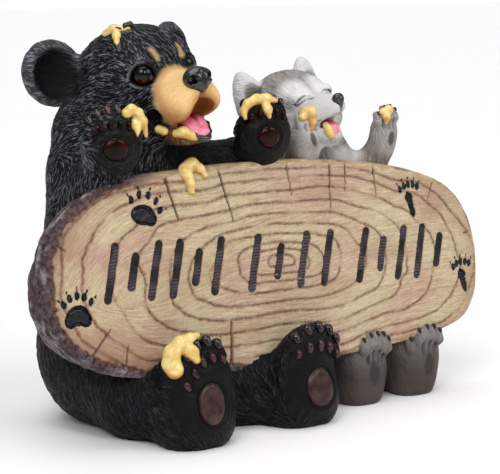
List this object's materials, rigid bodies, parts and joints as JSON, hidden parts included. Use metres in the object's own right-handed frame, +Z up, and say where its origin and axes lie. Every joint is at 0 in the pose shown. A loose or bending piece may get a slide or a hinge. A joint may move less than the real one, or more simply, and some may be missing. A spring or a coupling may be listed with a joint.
{
  "type": "welcome bear statue",
  "caption": "Cast resin figurine of a black bear cub and a grey cub that sit behind a slice of log and hold it up as a carved sign, with honey on their paws",
  "frame": {"origin": "on the surface it stands on, under the middle of the figurine's box", "axes": "+X along the sign towards the grey cub, -Y is the way the carved face looks, +Z up"},
  "size_m": [0.3019, 0.1435, 0.2269],
  "materials": {
    "painted_resin": "hand-painted cast polyresin: black and grey dry-brushed fur, tan wood sign with dark carving, glossy honey, eyes and noses"
  },
  "bodies": {
    "root": {"statue": "painted_resin"}
  },
  "joints": []
}
